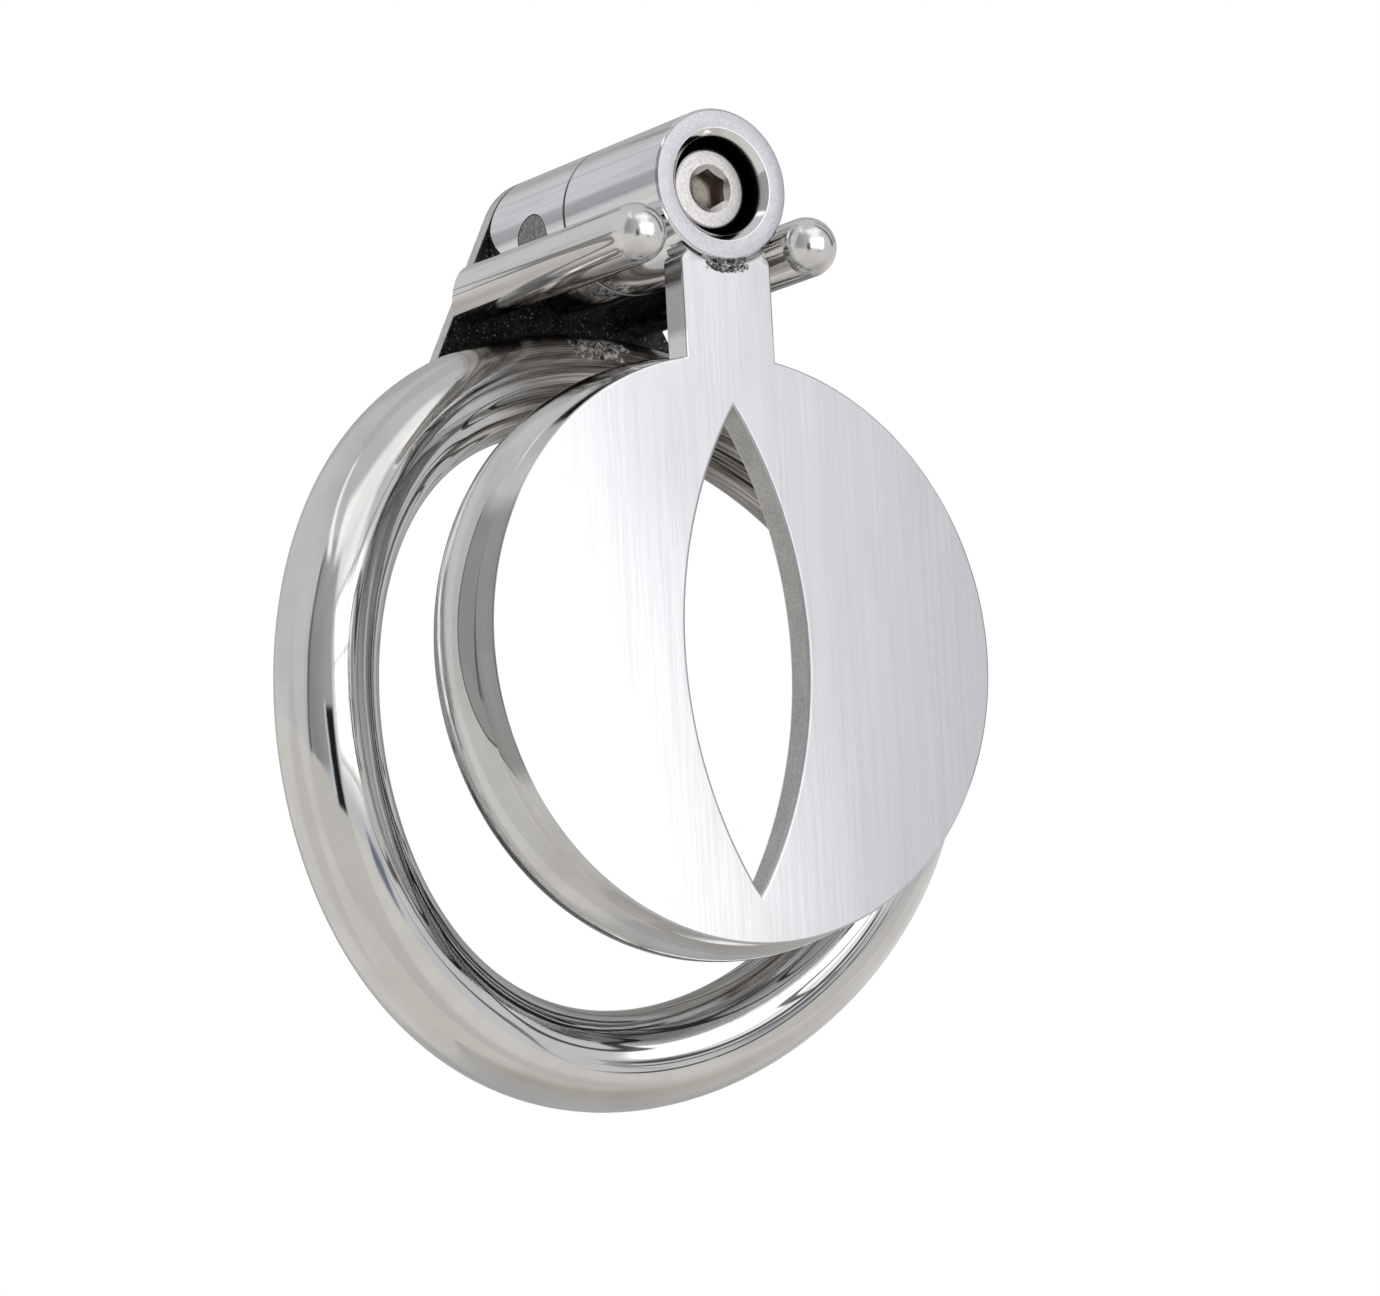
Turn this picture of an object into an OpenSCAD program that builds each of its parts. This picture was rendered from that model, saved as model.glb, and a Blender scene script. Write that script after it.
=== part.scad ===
// Wearable base ring with a slotted front plate, held together by a screwed barrel between two guide rods.
// Millimetres. +Z points up to the barrel, -Y to the front. The origin is the centre of the base ring.

/* [Base ring] */
// Clear diameter through the base ring
ring_bore_d = 50.2; // [38:0.1:62]
// Diameter of the round bar that the ring is bent from
ring_bar_d = 8.7; // [6:0.1:11]
// How far the ring's sides stand forward of its top and bottom
ring_bow = 6.2; // [0:0.1:8]

/* [Front plate] */
// Diameter of the plate's disc
disc_d = 49.2; // [40:0.1:62]
// Thickness of the disc and its neck
plate_t = 2.8; // [1.5:0.1:4]
// How far the plate's front face stands forward of the ring's middle plane
plate_reach = 21.8; // [18:0.1:26]
// Width of the neck
neck_w = 8.9; // [6:0.1:10]
// Length of the neck from the disc's top to the underside of the barrel
neck_len = 8; // [6.5:0.1:12]
// How far the neck's two horns rise beside the underside of the barrel
neck_horn = 0.7; // [0.2:0.05:1.5]
// Radius of the neck's two top corners
neck_corner_r = 1; // [0.3:0.1:2]
// Gap between the neck's hollowed top and the barrel, bridged by the weld
neck_gap = 0.25; // [0.1:0.05:0.5]

/* [Slit] */
// Metal left between the pointed slit's two tips and the disc's edge
slit_margin = 4.3; // [3.5:0.1:12]
// Width of the slit at its middle
slit_w = 12; // [6:0.1:18]
// How far the slit's middle lies below the disc's centre
slit_drop = 0.2; // [0:0.1:2]

/* [Plate rim] */
// Depth of the rim behind the plate
rim_depth = 6; // [4:0.1:8]
// Thickness of the rim's wall
rim_wall = 2.7; // [2.2:0.1:4]
// How far the rim's rounded side stands out past the disc's edge
rim_swell = 0.8; // [0:0.05:1.2]
// Radius that the rim's side is rounded to
rim_side_r = 9; // [7:0.5:30]
// Radius of the rim's two back edges
rim_edge_r = 0.9; // [0.3:0.1:1]

/* [Barrel] */
// Outer diameter of both halves of the barrel
barrel_d = 13; // [12:0.1:16]
// Length of the front half
front_barrel_len = 14.6; // [13:0.1:18]
// Length of the rear half
rear_barrel_len = 12.3; // [10.5:0.1:16]
// Height of the barrel's axis above the top of the ring
barrel_rise = 8; // [7.5:0.05:12]
// Gap between the two halves when they are screwed together
barrel_joint_gap = 0.05; // [0.02:0.01:0.2]
// Chamfer on the barrel's outer edges
barrel_chamfer = 0.2; // [0.05:0.05:0.5]
// Diameter of the counterbore that the screw's head sinks into
counterbore_d = 8.5; // [7.6:0.1:9.4]
// Chamfer at the mouth of the counterbore
mouth_chamfer = 0.4; // [0.1:0.05:0.8]
// Clearance all round the screw's shank in the front half
shank_clearance = 0.25; // [0.1:0.05:0.4]

/* [Clamp screw] */
// Diameter of the screw's thread
screw_d = 4; // [3:0.5:5]
// Length of the screw under its head
screw_len = 16; // [14:1:18]
// Diameter of the screw's head
head_d = 7; // [5.5:0.1:7.4]
// Height of the screw's head
head_h = 4; // [3:0.1:5]
// How far the head's face lies behind the barrel's face
head_recess = 1.75; // [0.5:0.05:3]
// Rounding of the head's front edge
head_edge_r = 0.3; // [0.1:0.05:0.5]
// Size of the hexagon socket across its flats
socket_af = 3; // [2:0.5:3.5]
// Gap under the screw's head
head_seat_gap = 0.02; // [0.01:0.01:0.1]
// Depth of the hexagon socket
socket_depth = 2.2; // [1.5:0.1:2.6]
// Chamfer on the screw's tip
tip_chamfer = 0.5; // [0.2:0.1:0.8]

/* [Guide rods] */
// Diameter of the two rods
rod_d = 5.15; // [4:0.05:6]
// Gap between each rod and the barrel
rod_gap = 0.7; // [0.3:0.05:1]
// Angle of each rod below the barrel's sides
rod_angle = 29; // [20:1:35]
// How far the rods' round noses stand forward of the plate
rod_overhang = 2.1; // [0:0.1:4]
// Slope at which the rods' rear ends are ground to meet the bracket's sides
grind_angle = 50; // [30:1:70]

/* [Bracket] */
// Thickness of the bracket plate
bracket_t = 1.6; // [1.2:0.1:3]
// How far the bracket's foot reaches left of the middle, on the ring
bracket_foot_left = 13; // [11:0.1:16]
// How far the bracket's foot reaches right of the middle, on the ring
bracket_foot_right = 15.4; // [11:0.1:16]

/* [Thread insert] */
// Diameter of the threaded insert in the rear half
insert_d = 8; // [7:0.1:9]
// Length of the threaded insert
insert_len = 9.5; // [6:0.1:10]
// How far the insert lies behind the rear half's face
insert_recess = 0.6; // [0.3:0.1:1]
// Clearance all round the screw's thread in the insert
thread_clearance = 0.05; // [0.02:0.01:0.1]
// Diameter of the dowel that locks the insert
dowel_d = 4.8; // [3:0.1:5]
// Distance of the dowel's axis behind the rear half's face
dowel_back = 5.2; // [4:0.1:6]
// How far the dowel's axis lies below the barrel's axis
dowel_drop = 1.2; // [0:0.1:1.2]
// Clearance all round each piece that is pressed into another
seat_clearance = 0.02; // [0.01:0.01:0.05]

/* [Welds] */
// Radius of the bead that closes the ring at its top
ring_bead_r = 2; // [1:0.1:2.2]
// How far that bead stands proud of the bar
ring_bead_proud = 0.3; // [0.1:0.05:0.6]
// Angle from the ring's top at which that bead starts
ring_bead_from = -5; // [-10:0.5:0]
// Angle from the ring's top at which that bead ends
ring_bead_to = 8; // [1:0.5:12]
// Radius of the bead between the bracket's back and the ring
foot_bead_r = 1.3; // [1:0.1:2]
// Radius of the bead between the neck and the barrel
neck_bead_r = 0.55; // [0.4:0.05:0.8]
// Angle that the neck's bead covers to each side, about the barrel's axis
neck_bead_angle = 22; // [10:1:30]

/* [Hidden] */
$fn = 64;

// Base ring
bar_r = ring_bar_d / 2;
ring_r = ring_bore_d / 2 + bar_r;
ring_stations = 96;
bar_sides = 24;

// Heights
barrel_r = barrel_d / 2;
barrel_z = ring_r + bar_r + barrel_rise;
disc_z = barrel_z - barrel_r - neck_len - disc_d / 2;

// Slit
slit_h = disc_d - 2 * slit_margin;

// Places along Y
plate_y = -plate_reach;
rim_y = plate_y + plate_t;
head_y = plate_y + head_recess;
seat_y = head_y + head_h + head_seat_gap;
split_y = plate_y + front_barrel_len;
rear_barrel_y = split_y + barrel_joint_gap;
insert_y = rear_barrel_y + insert_recess;
dowel_y = rear_barrel_y + dowel_back;
bracket_y = rear_barrel_y + rear_barrel_len;

// Rods, cradling the barrel from below
rod_r = rod_d / 2;
rod_reach = barrel_r + rod_gap + rod_r;
rod_x = rod_reach * cos(rod_angle);
rod_z = barrel_z - rod_reach * sin(rod_angle);
rod_nose_y = plate_y - rod_overhang + rod_r;

// Small extra that carries a cut past a face
past = 1;

// The ring's centre line bows forward at the sides: a circle bent round an upright cylinder.
// Angles on the ring run from its top towards +X, angles on the bar from the outside to the back.
function ring_lean(a) = -ring_bow * sin(2 * a) / ring_r;
function ring_middle_y(a) = ring_bow / 2 * cos(2 * a);
function ring_outward(a) = [sin(a), 0, cos(a)];
function ring_along(a) = [cos(a), 0, -sin(a)];
function ring_backward(a) = ([0, 1, 0] - ring_lean(a) * ring_along(a)) / sqrt(1 + pow(ring_lean(a), 2));
function ring_point(a, b, r) = ring_r * ring_outward(a) + [0, ring_middle_y(a), 0]
    + r * cos(b) * ring_outward(a) + r * sin(b) * ring_backward(a);

// Angle round the bar at which its surface crosses the plane Y = y
function bar_angle_at(a, y) = asin((y - ring_middle_y(a)) / (bar_r * ring_backward(a)[1]));

// The bracket's foot on the ring's back shoulder, and the angle at which a side touches the barrel,
// for a foot that reaches that far from the middle
function shoulder_point(a) = let (p = ring_point(a, bar_angle_at(a, bracket_y), bar_r)) [p[0], p[2]];
function foot_angle(reach) = asin(reach / (ring_r + bar_r));
function tangent_angle(reach) = let (foot = shoulder_point(foot_angle(reach)) - [0, barrel_z])
    atan2(foot[1], foot[0]) + acos(barrel_r / norm(foot));

// Cylinder axes along +Y, starting at a given Y on the barrel's axis
module on_barrel_axis(y) {
    translate([0, y, barrel_z]) rotate([-90, 0, 0]) children();
}

// A flat outline in X and Z, thickened from one Y to another
module upright(y, t) {
    translate([0, y + t, 0]) rotate([90, 0, 0]) linear_extrude(t) children();
}

module chamfered_rod(r, len, front, back) {
    cylinder(h = front, r1 = r - front, r2 = r);
    translate([0, 0, front]) cylinder(h = len - front - back, r = r);
    translate([0, 0, len - back]) cylinder(h = back, r1 = r, r2 = r - back);
}

module base_ring() {
    points = [for (i = [0:ring_stations - 1]) for (j = [0:bar_sides - 1])
        ring_point(i * 360 / ring_stations, j * 360 / bar_sides, bar_r)];
    faces = [for (i = [0:ring_stations - 1]) for (j = [0:bar_sides - 1])
        let (next_i = (i + 1) % ring_stations, next_j = (j + 1) % bar_sides)
        [i * bar_sides + j, i * bar_sides + next_j,
         next_i * bar_sides + next_j, next_i * bar_sides + j]];
    color("silver") polyhedron(points, faces, convexity = 4);
}

// The bracket's outline: over the barrel, tangent down each side, and along the ring's back shoulder
module bracket_outline() {
    steps = 24;
    right = foot_angle(bracket_foot_right);
    left = -foot_angle(bracket_foot_left);
    touch_right = tangent_angle(bracket_foot_right);
    touch_left = 180 - tangent_angle(bracket_foot_left);
    shoulder = [for (i = [0:steps]) shoulder_point(right + (left - right) * i / steps)];
    crown = [for (i = [0:steps])
        let (a = touch_left + (touch_right - touch_left) * i / steps)
        [barrel_r * cos(a), barrel_z + barrel_r * sin(a)]];
    polygon(concat(shoulder, crown));
}

module bracket_plate() {
    color("dimgray") upright(bracket_y, bracket_t) bracket_outline();
}

module rear_barrel() {
    color("silver") difference() {
        on_barrel_axis(rear_barrel_y) difference() {
            chamfered_rod(barrel_r, rear_barrel_len, barrel_chamfer, barrel_chamfer);
            translate([0, 0, -past]) cylinder(h = insert_recess + insert_len + past, d = insert_d);
        }
        dowel_shape(dowel_d);
    }
}

module thread_insert() {
    color("gray") difference() {
        on_barrel_axis(insert_y) difference() {
            cylinder(h = insert_len, r = insert_d / 2 - seat_clearance);
            translate([0, 0, -past]) cylinder(h = insert_len + 2 * past, r = screw_d / 2 + thread_clearance);
        }
        dowel_shape(dowel_d);
    }
}

// The dowel comes in from the left and stops in the insert's wall, short of the thread
module dowel_shape(d) {
    wall_left = (insert_d - screw_d) / 2;
    dowel_end = barrel_r - wall_left / 2 - screw_d / 2;
    translate([-barrel_r - past, dowel_y, barrel_z - dowel_drop])
        rotate([0, 90, 0]) cylinder(h = dowel_end + past, d = d);
}

module insert_dowel() {
    color("darkgray") intersection() {
        dowel_shape(dowel_d - 2 * seat_clearance);
        on_barrel_axis(rear_barrel_y) cylinder(h = rear_barrel_len, r = barrel_r);
    }
}

module guide_rod(side) {
    color("silver") mirror([side < 0 ? 1 : 0, 0, 0]) difference() {
        translate([rod_x, rod_nose_y, rod_z]) rotate([-90, 0, 0]) {
            sphere(rod_r);
            cylinder(h = bracket_y - rod_nose_y, r = rod_r);
        }
        side_grind(side < 0 ? bracket_foot_left : bracket_foot_right);
    }
}

// What is ground off the rod's rear end, on a slope that meets the side of a bracket with such a foot
module side_grind(foot) {
    reach = barrel_r + rod_d;
    translate([0, bracket_y, barrel_z]) rotate([0, -tangent_angle(foot), 0])
        linear_extrude(2 * reach, center = true)
            polygon([[barrel_r, 0], [reach, (barrel_r - reach) / tan(grind_angle)], [reach, past], [barrel_r, past]]);
}

module left_guide_rod() {
    guide_rod(-1);
}

module right_guide_rod() {
    guide_rod(1);
}

// A round bead along an arc about a point of the Y axis at height z, from one angle to another past the upright
module bead(reach, z, y, from, to, r) {
    translate([0, y, z]) rotate([90, 0, 0]) rotate([0, 0, 90 - to])
        rotate_extrude(angle = to - from) translate([reach, 0]) circle(r);
}

// The bead that closes the bent bar, on the upper front of the ring
module ring_weld() {
    bar_angle = -55;
    depth = bar_r + ring_bead_proud - ring_bead_r;
    color("lightgray") bead(ring_r + depth * cos(bar_angle), 0, ring_bow / 2 + depth * sin(bar_angle),
        ring_bead_from, ring_bead_to, ring_bead_r);
}

// The bead in the groove between the bracket's back and the ring
module bracket_weld() {
    bead_share = 0.85;
    shoulder = ring_point(0, bar_angle_at(0, bracket_y + bracket_t / 2), bar_r);
    color("gray") bead(shoulder[2], 0, bracket_y + bracket_t,
        -bead_share * foot_angle(bracket_foot_left), bead_share * foot_angle(bracket_foot_right), foot_bead_r);
}

module front_barrel() {
    color("silver") on_barrel_axis(plate_y) difference() {
        chamfered_rod(barrel_r, front_barrel_len, barrel_chamfer, barrel_chamfer);
        translate([0, 0, -past]) cylinder(h = seat_y - plate_y + past, d = counterbore_d);
        translate([0, 0, -past])
            cylinder(h = mouth_chamfer + past, r1 = counterbore_d / 2 + mouth_chamfer + past, r2 = counterbore_d / 2);
        translate([0, 0, -past]) cylinder(h = front_barrel_len + 2 * past, r = screw_d / 2 + shank_clearance);
    }
}

// Two crossing circles leave a slit with pointed ends
module slit_outline() {
    arc_r = (pow(slit_h / 2, 2) + pow(slit_w / 2, 2)) / slit_w;
    intersection() {
        translate([arc_r - slit_w / 2, 0]) circle(arc_r, $fn = 180);
        translate([slit_w / 2 - arc_r, 0]) circle(arc_r, $fn = 180);
    }
}

module neck_outline() {
    top = barrel_z - barrel_r + neck_horn;
    corner_x = neck_w / 2 - neck_corner_r;
    translate([-neck_w / 2, disc_z]) square([neck_w, top - neck_corner_r - disc_z]);
    translate([-corner_x, disc_z]) square([2 * corner_x, top - disc_z]);
    for (side = [-1, 1])
        translate([side * corner_x, top - neck_corner_r]) circle(neck_corner_r);
}

module front_plate() {
    color("gainsboro") upright(plate_y, plate_t) difference() {
        union() {
            translate([0, disc_z]) circle(d = disc_d, $fn = 180);
            neck_outline();
        }
        translate([0, disc_z - slit_drop]) slit_outline();
        translate([0, barrel_z]) circle(barrel_r + neck_gap);
    }
}

// The rim's section, with its outer side swelling and its two back edges rounded
module rim_section() {
    outer = disc_d / 2 + rim_swell;
    inner = outer - rim_wall;
    straight = rim_depth - rim_edge_r;
    swell_share = 0.6;
    intersection() {
        union() {
            translate([inner, 0]) square([rim_wall, straight]);
            translate([inner + rim_edge_r, 0]) square([rim_wall - 2 * rim_edge_r, rim_depth]);
            translate([inner + rim_edge_r, straight]) circle(rim_edge_r);
            translate([outer - rim_edge_r, straight]) circle(rim_edge_r);
        }
        translate([outer - rim_side_r, swell_share * rim_depth]) circle(rim_side_r, $fn = 180);
    }
}

module plate_rim() {
    color("silver") translate([0, rim_y, disc_z]) rotate([-90, 0, 0]) rotate_extrude($fn = 180) rim_section();
}

// The bead along the middle of the hollow between neck and barrel
module neck_weld() {
    color("darkgray") bead(barrel_r + neck_gap, barrel_z, plate_y + neck_bead_r,
        180 - neck_bead_angle, 180 + neck_bead_angle, neck_bead_r);
}

module clamp_screw() {
    socket_r = socket_af / 2 / cos(30);
    color("lightgray") on_barrel_axis(head_y) difference() {
        union() {
            rotate_extrude() {
                square([head_d / 2 - head_edge_r, head_h]);
                translate([0, head_edge_r]) square([head_d / 2, head_h - head_edge_r]);
                translate([head_d / 2 - head_edge_r, head_edge_r]) circle(head_edge_r);
            }
            translate([0, 0, head_h]) cylinder(h = screw_len - tip_chamfer, d = screw_d);
            translate([0, 0, head_h + screw_len - tip_chamfer])
                cylinder(h = tip_chamfer, d1 = screw_d, d2 = screw_d - 2 * tip_chamfer);
        }
        translate([0, 0, -past]) cylinder(h = socket_depth + past, r = socket_r, $fn = 6);
    }
}

base_ring();
bracket_plate();
rear_barrel();
thread_insert();
insert_dowel();
left_guide_rod();
right_guide_rod();
ring_weld();
bracket_weld();
front_barrel();
front_plate();
plate_rim();
neck_weld();
clamp_screw();
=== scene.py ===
"""A wearable steel ring with a slotted front plate on a screwed barrel, between two guide rods.

Metres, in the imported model's frame: +Z up to the barrel, -Y to the front plate.
"""

import math

import bmesh
import bpy
from mathutils import Matrix, Vector


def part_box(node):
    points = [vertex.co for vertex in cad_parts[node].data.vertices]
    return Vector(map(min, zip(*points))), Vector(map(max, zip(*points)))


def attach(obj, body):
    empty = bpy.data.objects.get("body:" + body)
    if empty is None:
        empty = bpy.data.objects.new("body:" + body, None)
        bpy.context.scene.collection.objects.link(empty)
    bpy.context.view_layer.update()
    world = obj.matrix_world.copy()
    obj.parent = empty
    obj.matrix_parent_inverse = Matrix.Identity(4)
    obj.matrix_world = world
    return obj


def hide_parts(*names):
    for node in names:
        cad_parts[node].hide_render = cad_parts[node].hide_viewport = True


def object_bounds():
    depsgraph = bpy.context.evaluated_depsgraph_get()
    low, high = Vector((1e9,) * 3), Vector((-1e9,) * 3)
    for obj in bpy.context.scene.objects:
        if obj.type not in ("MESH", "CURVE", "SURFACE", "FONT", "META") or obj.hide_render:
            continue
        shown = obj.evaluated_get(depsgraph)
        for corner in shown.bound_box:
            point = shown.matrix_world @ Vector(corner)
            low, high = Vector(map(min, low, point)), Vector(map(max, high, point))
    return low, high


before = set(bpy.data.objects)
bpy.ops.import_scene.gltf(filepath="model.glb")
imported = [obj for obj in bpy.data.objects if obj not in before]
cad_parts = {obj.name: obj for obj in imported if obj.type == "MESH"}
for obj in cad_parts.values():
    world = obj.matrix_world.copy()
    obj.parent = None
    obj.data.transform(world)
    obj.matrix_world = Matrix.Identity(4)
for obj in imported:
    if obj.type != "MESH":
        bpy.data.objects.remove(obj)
cad_lo, cad_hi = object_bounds()

MM = 0.001
TURN = 2 * math.pi
DEGREES = 360 / TURN

# ------------ sizes, in millimetres

BAR_R = 4.35                 # the ring's round bar
BOW = 6.2                    # how far the ring's sides stand forward of its top and bottom
RING_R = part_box("base_ring")[1].z / MM - BAR_R

BARREL_LO, BARREL_HI = (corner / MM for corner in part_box("front_barrel"))
REAR_LO, REAR_HI = (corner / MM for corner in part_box("rear_barrel"))
BARREL_R = BARREL_HI.x
AXIS_Z = BARREL_HI.z - BARREL_R
FACE_Y, SPLIT_Y = BARREL_LO.y, BARREL_HI.y
BORE_R, SHANK_R, SEAT_Y = 4.25, 2.25, -16.03
MOUTH = 0.55                 # the bore's chamfer at the face

PLATE_LO, PLATE_HI = (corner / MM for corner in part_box("front_plate"))
DISC_R = PLATE_HI.x
DISC_Z = PLATE_LO.z + DISC_R
NECK_W, NECK_TOP = 8.9, PLATE_HI.z
NECK_CORNER, HORN_TIP = 1.0, 0.35
SADDLE_R = BARREL_R + 0.25   # the neck's hollow end, under the barrel
SLIT_W, SLIT_H, SLIT_DROP = 12.0, 40.6, 0.2
PLATE_EASE, SLIT_EASE = 0.2, 0.36
NECK_WELD_Z = AXIS_Z - BARREL_R - 0.45

RIM_LO, RIM_HI = (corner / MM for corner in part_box("plate_rim"))
RIM_R, RIM_WALL, RIM_SIDE_R, RIM_EDGE_R = RIM_HI.x, 2.7, 9.0, 0.9
GROOVE = 0.38                # the turned groove between rim and plate

HEAD_R, HEAD_Y, HEAD_H = 3.5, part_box("clamp_screw")[0].y / MM, 4.0
SCREW_TIP_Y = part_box("clamp_screw")[1].y / MM
HEAD_EASE, UNDER_EASE = 0.35, 0.2
SOCKET_FLAT, SOCKET_DEPTH, SOCKET_MOUTH = 1.5, 2.2, 0.34
THREAD_R, THREAD_PITCH, THREAD_DEPTH = 2.0, 0.7, 0.38
PLAIN_SHANK, TIP_TAPER = 1.6, 0.5

INSERT_LO, INSERT_HI = (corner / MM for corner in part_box("thread_insert"))
INSERT_R, INSERT_BORE_R, INSERT_HOLE_R = INSERT_HI.x, 2.06, 4.0
DOWEL_LO, DOWEL_HI = (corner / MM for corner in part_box("insert_dowel"))
DOWEL_R = (DOWEL_HI.y - DOWEL_LO.y) / 2
DOWEL_Y, DOWEL_Z = DOWEL_LO.y + DOWEL_R, DOWEL_LO.z + DOWEL_R
DOWEL_GAP = 0.02

ROD_LO, ROD_HI = (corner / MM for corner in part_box("right_guide_rod"))
ROD_R, ROD_OUT = (ROD_HI.z - ROD_LO.z) / 2, ROD_HI.x
ROD_Z = ROD_HI.z - ROD_R
GRIND_SLOPE = math.radians(50)

BRACKET_LO, BRACKET_HI = (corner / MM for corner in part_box("bracket_plate"))
BRACKET_EASE = 0.18

RING_BEAD_R, RING_BEAD_STANDS, RING_BEAD_LEAN = 2.0, 0.3, math.radians(-55)
FOOT_BEAD_R, FOOT_BEAD_REACH = 1.25, 32.76
NECK_BEAD_R, NECK_BEAD_REACH, NECK_BEAD_DEPTH = 0.55, 6.75, 0.5

# ------------ node trees


class Wire:
    """A socket that takes part in sums. Each sum adds a Math node."""

    def __init__(self, tree, socket):
        self.tree = tree
        self.socket = socket

    def sum(self, operation, *values):
        return self.tree.add("ShaderNodeMath", {"operation": operation}, dict(enumerate(values)))

    def __neg__(self):
        return self * -1.0

    def between(self, low, high):
        """0 at low and below, 1 at high and above, smooth between them; low may be the greater."""
        return self.tree.add("ShaderNodeMapRange", {"interpolation_type": "SMOOTHSTEP"},
                             {"Value": self, "From Min": low, "From Max": high})


# The Math node that each operator and each word stands for.
OPERATORS = {"add": "ADD", "sub": "SUBTRACT", "mul": "MULTIPLY", "truediv": "DIVIDE", "pow": "POWER"}
WORDS_FOR_TWO = {"min": "MINIMUM", "max": "MAXIMUM", "angle_from": "ARCTAN2"}
WORDS_FOR_ONE = {"__abs__": "ABSOLUTE", "root": "SQRT", "sine": "SINE", "arcsine": "ARCSINE"}

for word, kind in OPERATORS.items():
    setattr(Wire, f"__{word}__", lambda self, other, kind=kind: self.sum(kind, self, other))
    setattr(Wire, f"__r{word}__", lambda self, other, kind=kind: self.sum(kind, other, self))
for word, kind in WORDS_FOR_TWO.items():
    setattr(Wire, word, lambda self, other, kind=kind: self.sum(kind, self, other))
for word, kind in WORDS_FOR_ONE.items():
    setattr(Wire, word, lambda self, kind=kind: self.sum(kind, self))


class Tree:
    """A node tree as it is built."""

    def __init__(self, tree):
        self.tree = tree

    def add(self, kind, settings=None, sockets=None, out=0):
        """One output of a new node, whose settings are made first and whose sockets are filled after."""
        node = self.tree.nodes.new(kind)
        for name, value in (settings or {}).items():
            if name == "stops":
                self.set_stops(node.color_ramp.elements, value)
            else:
                setattr(node, name, value)
        for name, value in (sockets or {}).items():
            if isinstance(value, Wire):
                self.tree.links.new(value.socket, node.inputs[name])
            else:
                node.inputs[name].default_value = value
        return Wire(self, node.outputs[out]) if node.outputs else None

    def set_stops(self, elements, stops):
        while len(elements) < len(stops):
            elements.new(1.0)
        for element, (place, colour) in zip(elements, stops):
            element.position = place
            element.color = (*colour, 1.0)

    def vector(self, x, y, z):
        return self.add("ShaderNodeCombineXYZ", sockets={0: x, 1: y, 2: z})


def rgba(colour):
    """Three numbers with an alpha of 1; a Wire as it is."""
    return colour if isinstance(colour, Wire) else (*colour, 1.0)


class Nodes(Tree):
    """The nodes of a material or of the world."""

    def __init__(self, owner):
        owner.use_nodes = True
        owner.node_tree.nodes.clear()
        super().__init__(owner.node_tree)
        self.owner = owner

    def place(self):
        """Where the shaded point is on the piece, in metres."""
        return self.add("ShaderNodeTexCoord", out="Object")

    def parts(self, vector):
        node = self.add("ShaderNodeSeparateXYZ", sockets={0: vector}).socket.node
        return [Wire(self, output) for output in node.outputs]

    def stretched(self, vector, x, y, z):
        return self.add("ShaderNodeVectorMath", {"operation": "MULTIPLY"}, {0: vector, 1: (x, y, z)})

    def noise(self, vector, scale=1.0, detail=3.0, rough=0.55, twist=0.0):
        return self.add("ShaderNodeTexNoise", None, {"Vector": vector, "Scale": scale, "Detail": detail,
                                                     "Roughness": rough, "Distortion": twist})

    def round_noise(self, first, second, cosine, sine, turning, detail=3.0, rough=0.55):
        """Noise that runs round a turned piece and meets itself; first and second lie in its section."""
        return self.add("ShaderNodeTexNoise", {"noise_dimensions": "4D"},
                        {"Vector": self.vector(first, second, cosine * turning), "W": sine * turning,
                         "Scale": 1.0, "Detail": detail, "Roughness": rough})

    def blend(self, share, first, second):
        """From the first colour to the second as share goes from 0 to 1."""
        return self.add("ShaderNodeMix", {"data_type": "RGBA"},
                        {0: share, 6: rgba(first), 7: rgba(second)}, out=2)

    def contour(self, value, level, width):
        """1 along the thin line where the value crosses that level."""
        return abs(value - level).between(width, width * 0.4)

    def relief(self, height, depth, under=None):
        """A bump of that depth, in millimetres, for a height that goes from 0 to 1."""
        lower = {} if under is None else {"Normal": under}
        return self.add("ShaderNodeBump", None,
                        {"Height": height, "Strength": 1.0, "Distance": depth * MM, **lower})

    def metal(self, colour, roughness, normal):
        """Makes the material a metal whose colour, roughness and normal vary, and gives it."""
        shader = self.add("ShaderNodeBsdfPrincipled", None,
                          {"Base Color": colour, "Roughness": roughness, "Metallic": 1.0, "Normal": normal})
        self.add("ShaderNodeOutputMaterial", None, {"Surface": shader})
        return self.owner


def new_finish(name):
    return Nodes(bpy.data.materials.new(name))


# ------------ finishes


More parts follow.
